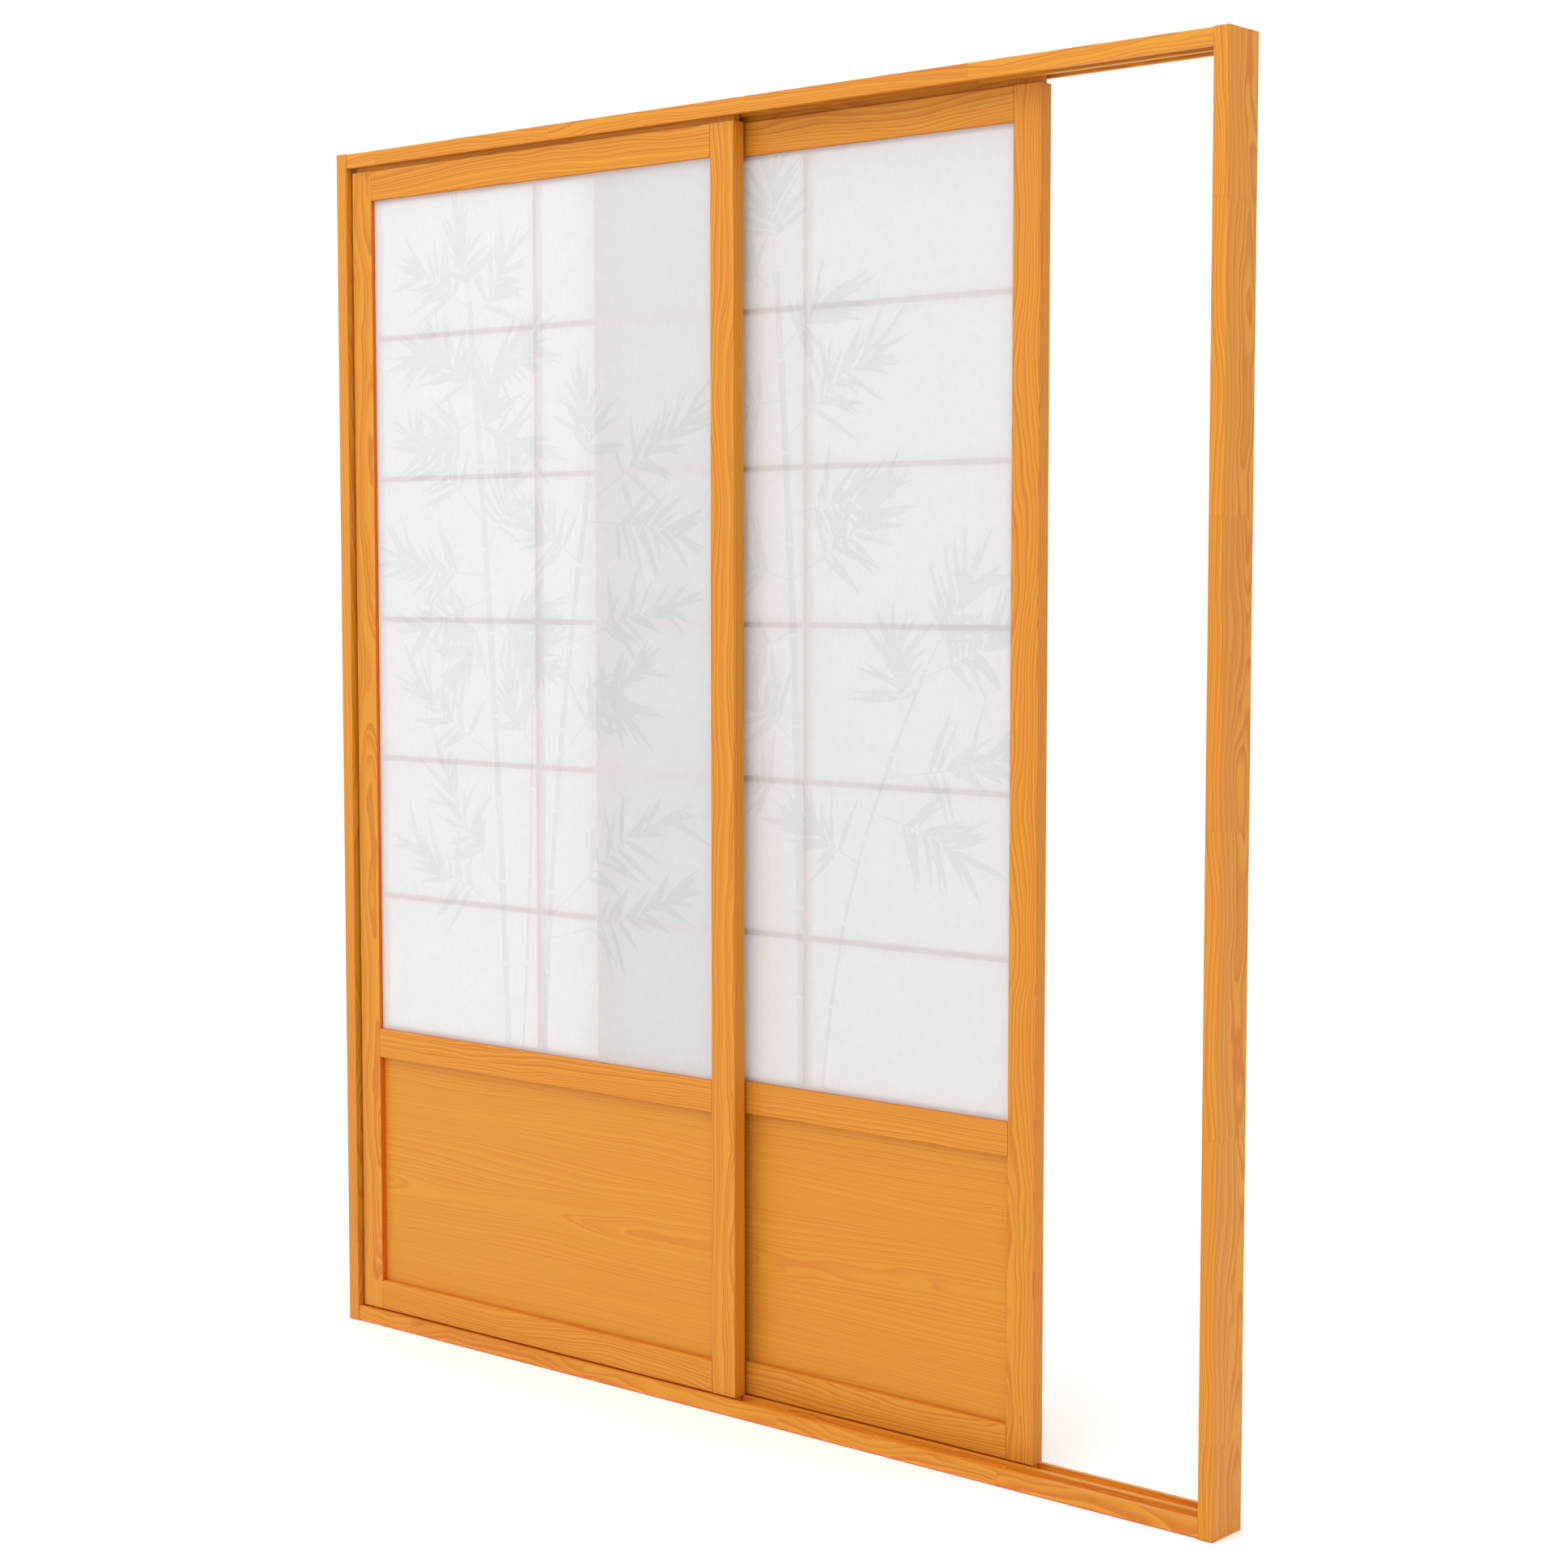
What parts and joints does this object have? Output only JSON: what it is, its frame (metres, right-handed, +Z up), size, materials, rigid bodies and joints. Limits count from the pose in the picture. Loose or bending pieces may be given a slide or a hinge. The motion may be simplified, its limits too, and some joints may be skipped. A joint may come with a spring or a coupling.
{
  "type": "pair of shoji sliding panels",
  "caption": "Two wooden shoji panels with translucent paper, slim lattice and lower boards, sliding past each other in a twin-track door frame.",
  "frame": {"origin": "on the floor, under the middle of the frame", "axes": "+X along the tracks to the right as seen from the paper side, +Y away from the paper side through the frame, +Z up"},
  "size_m": [1.829, 0.076, 2.083],
  "materials": {
    "frame_pine": "honey stained softwood, satin lacquer",
    "panel_pine": "honey stained softwood, satin lacquer",
    "board_pine": "honey stained softwood board with fine straight grain, satin lacquer",
    "lattice_pine": "honey stained softwood, satin lacquer",
    "shoji_paper": "white translucent fibrous paper, matt, with a faint grey bamboo print"
  },
  "bodies": {
    "door_frame": {"left_jamb": "frame_pine", "right_jamb": "frame_pine", "head_rail": "frame_pine", "sill": "frame_pine"},
    "front_panel": {"front_left_stile": "panel_pine", "front_right_stile": "panel_pine", "front_top_rail": "panel_pine", "front_middle_rail": "panel_pine", "front_bottom_rail": "panel_pine", "front_board": "board_pine", "front_paper": "shoji_paper", "front_left_border": "lattice_pine", "front_right_border": "lattice_pine", "front_top_border": "lattice_pine", "front_bottom_border": "lattice_pine", "front_upright_bar": "lattice_pine", "front_cross_bar_1": "lattice_pine", "front_cross_bar_2": "lattice_pine", "front_cross_bar_3": "lattice_pine", "front_cross_bar_4": "lattice_pine", "front_cross_bar_5": "lattice_pine"},
    "rear_panel": {"rear_left_stile": "panel_pine", "rear_right_stile": "panel_pine", "rear_top_rail": "panel_pine", "rear_middle_rail": "panel_pine", "rear_bottom_rail": "panel_pine", "rear_board": "board_pine", "rear_paper": "shoji_paper", "rear_left_border": "lattice_pine", "rear_right_border": "lattice_pine", "rear_top_border": "lattice_pine", "rear_bottom_border": "lattice_pine", "rear_upright_bar": "lattice_pine", "rear_cross_bar_1": "lattice_pine", "rear_cross_bar_2": "lattice_pine", "rear_cross_bar_3": "lattice_pine", "rear_cross_bar_4": "lattice_pine", "rear_cross_bar_5": "lattice_pine"}
  },
  "joints": [
    {"name": "front_panel_slide", "type": "slide", "parent": "door_frame", "child": "front_panel", "axis": [1, 0, 0], "range_m": [-0.0062, 0.8752]},
    {"name": "rear_panel_slide", "type": "slide", "parent": "door_frame", "child": "rear_panel", "axis": [1, 0, 0], "range_m": [-0.5687, 0.3127]}
  ]
}
